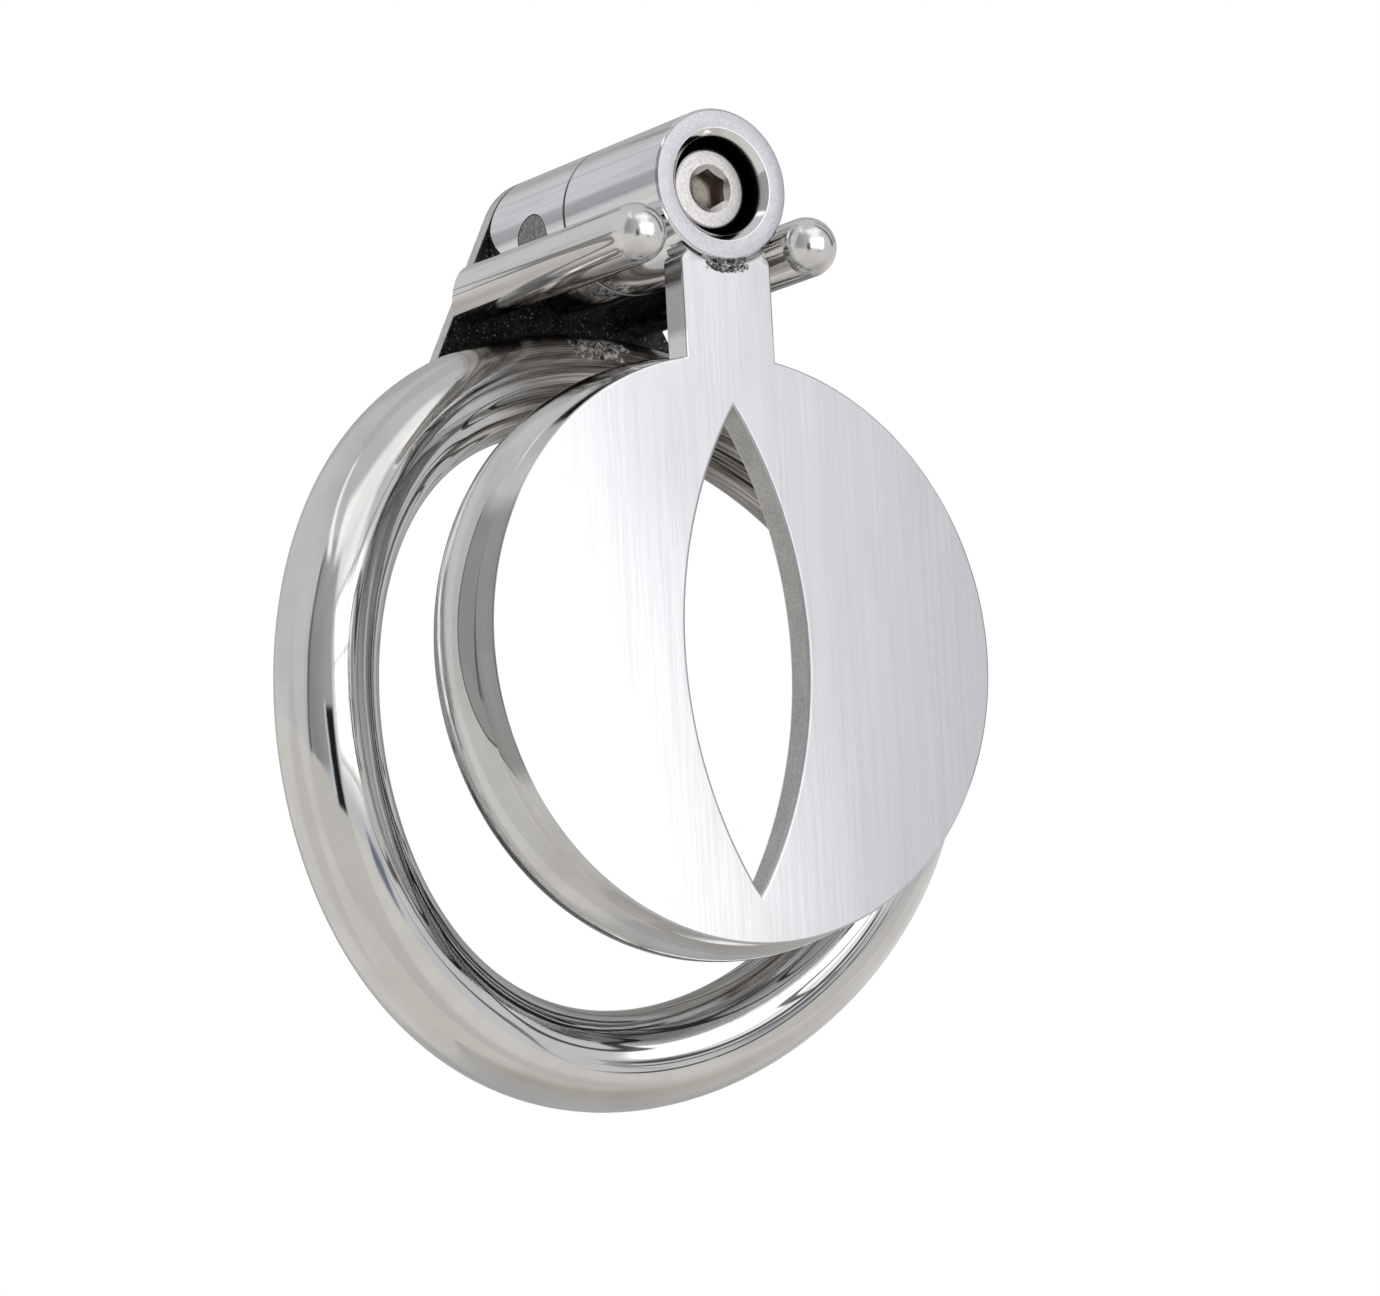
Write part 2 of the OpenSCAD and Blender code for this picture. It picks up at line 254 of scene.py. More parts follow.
def ring_polish():
    """Hand-polished bar: fine scratches along it, slow waves, a brushed dark bore, a dull top darkened by
    painted shadow, and thin dark lines painted on as reflections.
    """
    n = new_finish("ring_polish")
    place = n.place()
    x, y, z = n.parts(place)
    reach = (x * x + z * z).root()
    out = (reach / MM - RING_R) / BAR_R
    cosine, sine = z / reach, x / reach
    back = (y / MM - (cosine * cosine - sine * sine) * (BOW / 2)) / BAR_R
    scratches = n.round_noise(out * 34.0, back * 34.0, cosine, sine, 3.2)
    fine = n.round_noise(out * 190.0, back * 190.0, cosine, sine, 16.0, 2.0)
    waves = n.round_noise(out * 0.9, back * 0.9, cosine, sine, 2.6, 1.0)
    lanes = n.round_noise(out * 3.4, back * 3.4, cosine, sine, 0.7, 0.0)
    smears = n.noise(place, 170.0, 3.0, 0.6)
    bore = (-out).between(0.45, 0.9)
    # Painted shadow: the top of the bar in front of the bracket, under the barrel and neck, is darkened; it
    # is also made rougher.
    dull_shadowed_top = (cosine + sine * 0.12).between(0.84, 0.97) * (0.35 - back).between(0.0, 0.5)
    # Painted reflections: thin dark lines on the inner front of the bar.
    inner_reflection_lines = n.contour(lanes, 0.42, 0.010).max(n.contour(lanes, 0.50, 0.011))
    inner_reflection_lines = inner_reflection_lines.max(n.contour(lanes, 0.57, 0.012)) * (-out).between(-0.35, 0.1) * (-back).between(-0.5, 0.1)
    # Painted reflections: thin dark lines on the lower right front, wandering with the lanes.
    drift = out + cosine * 0.5 + (lanes - 0.5) * 0.16
    lower_reflection_lines = n.contour(drift, -0.40, 0.036).max(n.contour(drift, -0.33, 0.014))
    lower_reflection_lines = lower_reflection_lines.max(n.contour(drift, -0.21, 0.020)) * (-cosine).between(0.5, 0.64)
    lower_reflection_lines = lower_reflection_lines * sine.between(-0.2, 0.05) * (-back).between(0.1, 0.4)
    bright = n.blend(smears.between(0.35, 0.75), (0.88, 0.875, 0.862), (0.80, 0.792, 0.778))
    bright = n.blend(lanes.between(0.50, 0.58) * 0.7, bright, (0.70, 0.695, 0.69))
    brushed = n.blend(scratches.between(0.38, 0.62), (0.07, 0.058, 0.05), (0.52, 0.50, 0.475))
    # The colour of the painted shadow on the top, scratched like the rest.
    shadowed_top_colour = n.blend(scratches.between(0.38, 0.64), (0.10, 0.088, 0.078), (0.44, 0.41, 0.38))
    colour = n.blend(dull_shadowed_top * 0.9, n.blend(bore * 0.88, bright, brushed), shadowed_top_colour)
    # Both sets of painted reflection lines, near black.
    colour = n.blend(inner_reflection_lines.max(lower_reflection_lines * smears.between(0.2, 0.42)) * 0.9, colour, (0.03, 0.027, 0.025))
    roughness = 0.05 + bore * 0.08 + dull_shadowed_top * 0.17
    roughness = roughness + smears.between(0.45, 0.8) * 0.03 + scratches.between(0.55, 0.8) * 0.03
    return n.metal(colour, roughness, n.relief(fine * 0.2 + scratches * 0.5, 0.0035, n.relief(waves, 0.10)))


def rod_polish():
    """Drawn rod: fine lines along Y, a rougher nose lightened with painted light, painted shade on its
    underside and a painted dark reflection line along it.
    """
    n = new_finish("rod_polish")
    place = n.place()
    _, y, z = n.parts(place)
    lines = n.noise(n.stretched(place, 1.0, 0.035, 1.0), 5200.0, 3.0, 0.6)
    streaks = n.noise(n.stretched(place, 1.0, 0.05, 1.0), 1400.0, 2.0)
    lanes = n.noise(n.stretched(place, 1.0, 0.012, 1.0), 640.0, 0.0)
    smears = n.noise(place, 260.0, 3.0, 0.6)
    low = (ROD_Z - z / MM) / ROD_R
    nose = (y / MM).between(ROD_LO.y + ROD_R, ROD_LO.y + ROD_R * 0.6)
    colour = n.blend(streaks.between(0.4, 0.7), (0.90, 0.89, 0.87), (0.78, 0.765, 0.745))
    # Painted shade: the underside darker, in lanes along the rod.
    colour = n.blend(low.between(0.0, 0.8) * lanes.between(0.3, 0.6), colour, (0.22, 0.21, 0.195))
    # Painted reflection: a thin dark line along the rod.
    colour = n.blend(n.contour(lanes, 0.40, 0.012) * 0.7, colour, (0.10, 0.095, 0.09))
    # Painted light: the nose lightened towards white.
    colour = n.blend(nose * 0.8, colour, (0.93, 0.925, 0.91))
    roughness = 0.08 + nose * 0.1 + smears.between(0.4, 0.8) * 0.07 + lines.between(0.5, 0.8) * 0.05
    return n.metal(colour, roughness, n.relief(lines, 0.0045))


def barrel_satin():
    """Turned barrel: bright side with faint lines, thin dark lines and a grey stripe painted on as
    reflections, satin face, and a rough bore darkened by painted shade.
    """
    n = new_finish("barrel_satin")
    place = n.place()
    x, y, z = n.parts(place)
    depth = y / MM
    rise = z - AXIS_Z * MM
    reach = (x * x + rise * rise).root() / MM
    turn = x.angle_from(rise) * DEGREES
    lines = n.noise(n.stretched(place, 1.0, 0.03, 1.0), 4200.0, 3.0, 0.6)
    streaks = n.noise(n.stretched(place, 1.0, 0.05, 1.0), 1150.0, 3.0, 0.6)
    lanes = n.noise(n.stretched(place, 1.0, 0.008, 1.0), 520.0, 0.0)
    grain = n.noise(place, 4200.0, 3.0, 0.65)
    face = depth.between(FACE_Y + 0.06, FACE_Y + 0.02)
    joint = depth.between(SPLIT_Y - 0.02, SPLIT_Y) * depth.between(SPLIT_Y + 0.08, SPLIT_Y + 0.06)
    # Painted shade: the bore's wall near black past its mouth; it is also rougher.
    bore = (BORE_R + 0.12 - reach).between(0.0, 0.1) * depth.between(FACE_Y + 0.3, FACE_Y + 0.9)
    mouth = (BORE_R + MOUTH + 0.07 - reach).between(0.0, 0.03)
    # Painted reflection: a grey stripe along the left of the side.
    reflection_stripe = turn.between(-96.0, -91.0) * turn.between(-80.0, -85.0)
    split = abs(depth - SPLIT_Y).between(0.2, 0.12) * reach.between(BARREL_R - 0.4, BARREL_R - 0.3)
    side = n.blend(streaks.between(0.42, 0.64), (0.96, 0.96, 0.97), (0.85, 0.85, 0.865))
    # Painted reflections: thin dark lines along the side.
    side = n.blend(n.contour(lanes, 0.42, 0.010) * 0.5, side, (0.30, 0.30, 0.305))
    side = n.blend(reflection_stripe * (0.5 + lanes * 0.5), side, (0.42, 0.42, 0.425))
    side = n.blend(split * 0.85, side, (0.12, 0.12, 0.12))
    satin = n.blend(grain.between(0.35, 0.7), (0.535, 0.535, 0.565), (0.46, 0.46, 0.495))
    colour = n.blend(mouth, n.blend(face, side, satin), (0.93, 0.93, 0.93))
    # The painted shade of the bore.
    colour = n.blend(bore, colour, (0.03, 0.028, 0.027))
    roughness = 0.06 + face.max(joint) * 0.15 + bore * 0.3 + streaks.between(0.5, 0.75) * 0.04
    return n.metal(colour, roughness, n.relief(grain, 0.0010, n.relief(lines * 0.6 + streaks * 0.4, 0.0022)))


def plate_brush():
    """Front plate: upright brushing, stronger away from the neck, painted shade greying it from near white at
    the lower left towards the right and top, and weld spatter at the neck.
    """
    n = new_finish("plate_brush")
    place = n.place()
    x, _, z = n.parts(place)
    right, up = x / MM, z / MM
    fine = n.noise(n.stretched(place, 1.0, 0.3, 0.016), 6500.0, 3.0, 0.65)
    long_lines = n.noise(n.stretched(place, 1.0, 0.3, 0.008), 1900.0, 4.0, 0.6)
    broad = n.noise(n.stretched(place, 1.0, 0.3, 0.25), 160.0, 2.0)
    # Painted shade: near white at the lower left, grey towards the right and the top.
    painted_shade = (right + up * 0.5).between(-22.0, 9.0)
    strength = right.between(-6.0, 20.0)
    streaks = long_lines * 0.6 + fine * 0.4
    grey = n.blend(painted_shade, (0.93, 0.93, 0.94), (0.665, 0.67, 0.695))
    colour = n.blend(streaks.between(0.36, 0.68) * (0.03 + strength * 0.16), grey, (0.36, 0.365, 0.385))
    off_x, off_z = right / 2.0, (up - NECK_WELD_Z) / 0.62
    spatter = (off_x * off_x + off_z * off_z).root() + n.noise(place, 2600.0, 3.0, 0.6) * 0.9
    spatter = spatter.between(1.5, 1.32)
    folds = n.noise(place, 2600.0, 4.0, 0.7, 1.2)
    stops = ((0.42, (0.02, 0.02, 0.02)), (0.52, (0.14, 0.137, 0.13)), (0.62, (0.66, 0.65, 0.64)))
    soot = n.add("ShaderNodeValToRGB", {"stops": stops}, {0: folds})
    colour = n.blend(spatter, colour, soot)
    roughness = 0.26 + fine.between(0.4, 0.7) * 0.08 + broad.between(0.4, 0.7) * 0.04
    brushing = n.relief(streaks * (0.3 + strength * 0.7), 0.0014)
    return n.metal(colour, roughness, n.relief(folds * spatter, 0.10, brushing))


def cut_edge():
    """Wire-cut wall of the slit: fine matte grey pitting."""
    n = new_finish("cut_edge")
    place = n.place()
    pits = n.noise(place, 4200.0, 4.0, 0.7)
    blotches = n.noise(place, 420.0, 3.0)
    colour = n.blend(pits.between(0.35, 0.7), (0.74, 0.74, 0.725), (0.55, 0.545, 0.53))
    return n.metal(colour, 0.5 + blotches.between(0.35, 0.7) * 0.12, n.relief(pits, 0.012))


def rim_polish():
    """Turned and polished rim: fine rings round it, soft waves, a dark tongue beside the plate painted as a
    reflection, and painted shade on its top under the neck.
    """
    n = new_finish("rim_polish")
    place = n.place()
    x, y, z = n.parts(place)
    rise = z - DISC_Z * MM
    reach = (x * x + rise * rise).root()
    cosine, sine = rise / reach, x / reach
    rings = n.round_noise(y * 5200.0, reach * 5200.0, cosine, sine, 6.0, 3.0, 0.6)
    waves = n.round_noise(y * 120.0, reach * 120.0, cosine, sine, 2.5, 1.0)
    lanes = n.round_noise(y * 560.0 + 4.0, reach * 560.0, cosine, sine, 0.6, 0.0)
    smears = n.noise(place, 210.0, 3.0, 0.6)
    # 1 below the rim's top, 0 at the top, where shade is painted.
    band = (z / MM).between(NECK_TOP - 6.5, NECK_TOP - 7.5)
    colour = n.blend(smears.between(0.35, 0.75), (0.88, 0.88, 0.88), (0.78, 0.775, 0.77))
    colour = n.blend(lanes.between(0.50, 0.58) * band * 0.35, colour, (0.54, 0.54, 0.545))
    above = cosine - 0.07
    # Painted reflection: a dark tongue beside the plate on the sides, edged with a darker line.
    reflection_tongue = 1.58 - above * above * (5.6 - above * 8.0) - (y / MM - RIM_LO.y) + (lanes - 0.5) * 0.5
    side = cosine.between(0.52, 0.40) * (-cosine).between(0.5, 0.4)
    colour = n.blend(reflection_tongue.between(0.0, 0.08) * side * 0.8, colour, (0.34, 0.34, 0.345))
    colour = n.blend(n.contour(reflection_tongue, 0.04, 0.08) * side * 0.8, colour, (0.08, 0.077, 0.075))
    # Painted shade: the top of the rim, under the neck and barrel, greyed.
    colour = n.blend((1 - band) * 0.75, colour, (0.42, 0.42, 0.425))
    roughness = 0.09 + smears.between(0.45, 0.8) * 0.06 + rings.between(0.5, 0.8) * 0.05
    return n.metal(colour, roughness, n.relief(rings, 0.004, n.relief(waves, 0.12)))


def bracket_rough():
    """Ground plate, speckled and darkened by painted shadow on its front, and bright at its back."""
    n = new_finish("bracket_rough")
    place = n.place()
    _, y, _ = n.parts(place)
    lumps = n.noise(place, 900.0, 5.0, 0.7, 0.6)
    speckle = n.noise(place, 3300.0, 4.0, 0.75)
    grind = n.noise(n.stretched(place, 0.15, 1.0, 1.0), 2600.0, 3.0, 0.6)
    behind = (y / MM).between(BRACKET_LO.y + 0.05, BRACKET_LO.y + 0.2)
    # Painted shadow: the front face near black, with pale speckles.
    dark = n.blend(lumps.between(0.35, 0.7), (0.012, 0.011, 0.010), (0.06, 0.057, 0.054))
    dark = n.blend(speckle.between(0.58, 0.66), dark, (0.55, 0.54, 0.52))
    ground = n.blend(grind.between(0.35, 0.7), (0.62, 0.61, 0.59), (0.78, 0.775, 0.765))
    roughness = 0.5 - behind * 0.24 + lumps.between(0.4, 0.7) * 0.15
    normal = n.relief(speckle * (1 - behind) * 0.6 + grind * 0.2, 0.02, n.relief(lumps * (1 - behind), 0.09))
    return n.metal(n.blend(behind, dark, ground), roughness, normal)


def weld_ripple(name, dark, middle, bright):
    """Crumpled weld metal, bright on its folds and dark between them."""
    n = new_finish(name)
    place = n.place()
    folds = n.noise(place, 1100.0, 4.0, 0.65, 1.6)
    pits = n.add("ShaderNodeTexVoronoi", {"feature": "F1"}, {"Vector": place, "Scale": 2400.0})
    stops = ((0.36, dark), (0.48, middle), (0.62, bright))
    colour = n.add("ShaderNodeValToRGB", {"stops": stops}, {0: folds})
    return n.metal(colour, 0.16 + folds.between(0.3, 0.6) * 0.14, n.relief(pits, 0.03, n.relief(folds, 0.28)))


def dowel_ground():
    """Ground end of the dowel: matte, speckled, with a dark joint round it."""
    n = new_finish("dowel_ground")
    place = n.place()
    _, y, z = n.parts(place)
    off_y, off_z = y / MM - DOWEL_Y, z / MM - DOWEL_Z
    reach = (off_y * off_y + off_z * off_z).root() / DOWEL_R
    speckle = n.noise(place, 3600.0, 4.0, 0.75)
    scuffs = n.noise(n.stretched(place, 1.0, 0.2, 1.0), 1500.0, 3.0)
    grey = n.blend(speckle.between(0.35, 0.68), (0.16, 0.155, 0.15), (0.50, 0.495, 0.485))
    grey = n.blend(scuffs.between(0.55, 0.75) * 0.5, grey, (0.26, 0.25, 0.24))
    colour = n.blend(reach.between(0.93, 0.99), grey, (0.10, 0.095, 0.09))
    return n.metal(colour, 0.42 + speckle.between(0.4, 0.7) * 0.14, n.relief(speckle, 0.016))


def screw_satin():
    """Turned screw head: rings round the face, satin, darker in the socket."""
    n = new_finish("screw_satin")
    place = n.place()
    x, y, z = n.parts(place)
    rise = z - AXIS_Z * MM
    reach = (x * x + rise * rise).root()
    rings = n.noise(n.vector(reach * 7000.0, y * 2000.0, 0.0), 1.0, 3.0, 0.6)
    grain = n.noise(place, 3600.0, 3.0, 0.65)
    deep = (y / MM).between(HEAD_Y + 0.25, HEAD_Y + 1.1) * (2.1 - reach / MM).between(0.0, 0.1)
    satin = n.blend(grain.between(0.35, 0.7), (0.61, 0.595, 0.585), (0.52, 0.508, 0.50))
    colour = n.blend(deep * 0.85, satin, (0.27, 0.235, 0.19))
    roughness = 0.2 + grain.between(0.4, 0.7) * 0.1 + deep * 0.08
    return n.metal(colour, roughness, n.relief(rings * 0.7 + grain * 0.3, 0.004))


def insert_steel():
    """Cut thread in plain steel, oily and darker."""
    n = new_finish("insert_steel")
    cuts = n.noise(n.stretched(n.place(), 1.0, 3.0, 1.0), 2400.0, 3.0)
    colour = n.blend(cuts.between(0.35, 0.7), (0.52, 0.50, 0.47), (0.38, 0.36, 0.335))
    return n.metal(colour, 0.26 + cuts.between(0.4, 0.7) * 0.12, n.relief(cuts, 0.006))


# ------------ pieces


def evaluated_mesh(thing):
    """What the object's modifiers make of it, as a plain mesh."""
    bpy.context.view_layer.update()
    return bpy.data.meshes.new_from_object(thing.evaluated_get(bpy.context.evaluated_depsgraph_get()))


def linked(name, data):
    thing = bpy.data.objects.new(name, data)
    bpy.context.scene.collection.objects.link(thing)
    return thing


def finished(name, mesh, materials, body, slot, *nodes, sharp=32):
    """The mesh as a piece that rides on a body and stands for those nodes, crisp past `sharp` degrees."""
    for material in materials:
        if material.name not in mesh.materials:
            mesh.materials.append(material)
    mesh.shade_smooth()
    mesh.set_sharp_from_angle(angle=math.radians(sharp))
    piece = linked(name, mesh)
    piece.modifiers.new("flat faces", "WEIGHTED_NORMAL").keep_sharp = True
    mesh = evaluated_mesh(piece)
    mesh.name = name
    piece.modifiers.clear()
    piece.data = mesh
    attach(piece, body)
    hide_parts(*nodes)
    return piece


def mesh_of(points, faces):
    """A closed mesh from points in millimetres, its doubles merged and its faces outwards."""
    mesh = bpy.data.meshes.new("mesh")
    mesh.from_pydata([Vector(p) * MM for p in points], [], faces)
    shape = bmesh.new()
    shape.from_mesh(mesh)
    bmesh.ops.remove_doubles(shape, verts=shape.verts, dist=0.0005 * MM)
    bmesh.ops.dissolve_degenerate(shape, edges=shape.edges, dist=0.0001 * MM)
    bmesh.ops.recalc_face_normals(shape, faces=shape.faces)
    shape.to_mesh(mesh)
    shape.free()
    return mesh


def round_points(line, sides, x=0.0, z=AXIS_Z):
    """The points of a line (y, r) turned about an axis along Y, a row for each of its points."""
    return [(x + r * math.sin(a * TURN / sides), y, z + r * math.cos(a * TURN / sides))
            for y, r in line for a in range(sides)]


def round_faces(rows, sides, closed=False):
    """The quads between rows of points that each go once round."""
    return [[i * sides + a, i * sides + (a + 1) % sides,
             (i + 1) % rows * sides + (a + 1) % sides, (i + 1) % rows * sides + a]
            for i in range(rows if closed else rows - 1) for a in range(sides)]


def turned(line, sides, closed=False, **axis):
    return mesh_of(round_points(line, sides, **axis), round_faces(len(line), sides, closed))


def eased(corners, closed=False):
    """The corners (y, r, ease) as a finer line, each corner rounded over the length that it gives."""
    line = []
    for i, (y, r, ease) in enumerate(corners):
        here = Vector((y, r))
        if ease == 0 or (not closed and i in (0, len(corners) - 1)):
            line.append(here)
            continue
        start = here + (Vector(corners[i - 1][:2]) - here).normalized() * ease
        end = here + (Vector(corners[(i + 1) % len(corners)][:2]) - here).normalized() * ease
        for t in (0, 0.25, 0.5, 0.75, 1):
            line.append(start * (1 - t) ** 2 + here * 2 * t * (1 - t) + end * t ** 2)
    return line


def arc(centre, radius, start, end, steps):
    """Points of an arc, its angles in degrees from +X."""
    angles = [math.radians(start + (end - start) * i / steps) for i in range(steps + 1)]
    return [(centre[0] + radius * math.cos(angle), centre[1] + radius * math.sin(angle)) for angle in angles]


def offset(outline, inward):
    """A closed outline (x, z) moved in by that much, its corners mitred."""
    moved, count = [], len(outline)
    area = sum(outline[i - 1][0] * outline[i][1] - outline[i][0] * outline[i - 1][1] for i in range(count))
    side = math.copysign(1, area)
    for i, point in enumerate(outline):
        here = Vector(point)
        before = (here - Vector(outline[i - 1])).normalized()
        after = (Vector(outline[(i + 1) % count]) - here).normalized()
        left = [Vector((-way.y, way.x)) * side for way in (before, after)]
        middle = (left[0] + left[1]).normalized()
        moved.append(here + middle * inward / max(middle.dot(left[0]), 0.35))
    return moved


def slab(outer, hole, front_y, back_y, outer_ease, hole_ease=0.0):
    """A plate between two outlines, its edges eased.

    Face material 0 is the flats and the hole's eased edges, 1 the hole's wall, 2 the outside all round.
    """
    shape = bmesh.new()
    front_edges, back_edges = [], []
    quarter = [t * math.pi / 8 for t in range(5)]
    for outline, way, ease in ((outer, 1, outer_ease), (hole, -1, hole_ease)):
        if not outline:
            continue
        steps = [(ease * (1 - math.cos(t)), ease * (1 - math.sin(t))) for t in quarter]
        rows = [(inward, front_y + depth) for inward, depth in reversed(steps)]
        rows += [(inward, back_y - depth) for inward, depth in steps]
        rings = [[shape.verts.new(Vector((x, y, z)) * MM) for x, z in offset(outline, inward * way)]
                 for inward, y in rows]
        for k in range(1, len(rings)):
            last, ring = rings[k - 1], rings[k]
            for i in range(len(ring)):
                face = shape.faces.new((last[i - 1], last[i], ring[i], ring[i - 1]))
                if way > 0:
                    face.material_index = 2
                elif k == len(steps):
                    face.material_index = 1
        for edges, ring in ((front_edges, rings[0]), (back_edges, rings[-1])):
            edges += [shape.edges.get((ring[i - 1], ring[i])) for i in range(len(ring))]
    for edges in (front_edges, back_edges):
        bmesh.ops.triangle_fill(shape, use_beauty=True, edges=edges)
    bmesh.ops.recalc_face_normals(shape, faces=shape.faces)
    mesh = bpy.data.meshes.new("slab")
    shape.to_mesh(mesh)
    shape.free()
    return mesh


def cut_out(mesh, hole):
    """The mesh less another closed one."""
    less, work = linked("less", hole), linked("work", mesh)
    cut = work.modifiers.new("cut", "BOOLEAN")
    cut.operation = "DIFFERENCE"
    cut.solver = "EXACT"
    cut.object = less
    result = evaluated_mesh(work)
    bpy.data.objects.remove(less)
    bpy.data.objects.remove(work)
    return result


# ------------ shapes that follow a rule


class Shape(Tree):
    """A Geometry Nodes tree with named sizes."""

    def __init__(self, name, sizes):
        super().__init__(bpy.data.node_groups.new(name, "GeometryNodeTree"))
        for size, default in sizes.items():
            kind = "NodeSocketInt" if isinstance(default, int) else "NodeSocketFloat"
            self.tree.interface.new_socket(size, in_out="INPUT", socket_type=kind).default_value = default
        self.tree.interface.new_socket("Material", in_out="INPUT", socket_type="NodeSocketMaterial")
        self.tree.interface.new_socket("Shape", in_out="OUTPUT", socket_type="NodeSocketGeometry")

    def size(self, name):
        return self.add("NodeGroupInput", out=name)

    def swept(self, path, **more):
        """A round section of Sides points and that Radius along the path."""
        section = self.add("GeometryNodeCurvePrimitiveCircle", None,
                           {"Resolution": self.size("Sides"), "Radius": self.size("Radius")})
        return self.add("GeometryNodeCurveToMesh", None, {"Curve": path, "Profile Curve": section, **more})

    def finish(self, geometry):
        whole = self.add("GeometryNodeRealizeInstances", None, {0: geometry})
        whole = self.add("GeometryNodeSetMaterial", None,
                         {"Geometry": whole, "Material": self.size("Material")})
        self.add("NodeGroupOutput", None, {"Shape": whole})

    def made(self, sizes, material):
        """The tree's shape at those sizes as a plain mesh."""
        holder = linked("holder", bpy.data.meshes.new("holder"))
        modifier = holder.modifiers.new("shape", "NODES")
        modifier.node_group = self.tree
        sockets = {item.name: item.identifier
                   for item in self.tree.interface.items_tree if item.in_out == "INPUT"}
        for name, value in {**sizes, "Material": material}.items():
            modifier[sockets[name]] = value
        mesh = evaluated_mesh(holder)
        bpy.data.objects.remove(holder)
        return mesh


def bowed_ring_shape():
    """A round bar bent into a circle whose sides stand forward."""
    s = Shape("bowed_ring",
              {"Ring Radius": 0.03, "Radius": 0.004, "Bow": 0.006, "Stations": 360, "Sides": 72})
    circle = s.add("GeometryNodeCurvePrimitiveCircle", None,
                   {"Resolution": s.size("Stations"), "Radius": 1.0})
    angle = s.add("GeometryNodeSplineParameter") * TURN
    sine, cosine = angle.sine(), (angle + TURN / 4).sine()
    bowed = s.vector(sine * s.size("Ring Radius"),
                     (cosine * cosine - sine * sine) * s.size("Bow") * 0.5,
                     cosine * s.size("Ring Radius"))
    s.finish(s.swept(s.add("GeometryNodeSetPosition", None, {"Geometry": circle, "Position": bowed})))
    return s


def bead_shape():
    """A weld bead along an arc about an axis along Y, rippled across and lumpy, its ends rounded."""
    s = Shape("weld_bead",
              {"Reach": 0.03, "Height": 0.0, "Depth": 0.0, "From": 0.0, "To": 1.0, "Radius": 0.001,
               "Ripples": 8.0, "Ripple Height": 0.1, "Lump Height": 0.0001, "Lump Scale": 900.0,
               "Steps": 160, "Sides": 40, "Seed": 1.0})
    line = s.add("GeometryNodeCurvePrimitiveLine")
    line = s.add("GeometryNodeResampleCurve", None, {"Curve": line, "Count": s.size("Steps")})
    factor = s.add("GeometryNodeSplineParameter")
    angle = s.size("From") + factor * (s.size("To") - s.size("From"))
    place = s.vector(angle.sine() * s.size("Reach"), s.size("Depth"),
                     (angle + TURN / 4).sine() * s.size("Reach") + s.size("Height"))
    path = s.add("GeometryNodeSetPosition", None, {"Geometry": line, "Position": place})
    ends = (1.0 - abs(factor * 2.0 - 1.0) ** 6.0).max(0.002).root()
    ripple = abs((factor * s.size("Ripples") * (TURN / 2)).sine())
    path = s.add("GeometryNodeSetCurveRadius", None,
                 {"Curve": path, "Radius": ends * (1.0 - s.size("Ripple Height") * (1.0 - ripple))})
    bead = s.swept(path, **{"Fill Caps": True, "Scale": s.add("GeometryNodeInputRadius")})
    lumps = s.add("ShaderNodeTexNoise", {"noise_dimensions": "4D"},
                  {"Vector": s.add("GeometryNodeInputPosition"), "W": s.size("Seed"),
                   "Scale": s.size("Lump Scale"), "Detail": 3.0, "Roughness": 0.6, "Distortion": 0.8})
    push = s.add("ShaderNodeVectorMath", {"operation": "SCALE"},
                 {0: s.add("GeometryNodeInputNormal"), "Scale": (lumps - 0.5) * 2.0 * s.size("Lump Height")})
    s.finish(s.add("GeometryNodeSetPosition", None, {"Geometry": bead, "Offset": push}))
    return s


# ------------ base


def make_ring():
    material = ring_polish()
    mesh = bowed_ring_shape().made({"Ring Radius": RING_R * MM, "Radius": BAR_R * MM, "Bow": BOW * MM,
                                    "Stations": 360, "Sides": 72}, material)
    finished("base_ring_bar", mesh, [material], "base", "polished_steel", "base_ring")


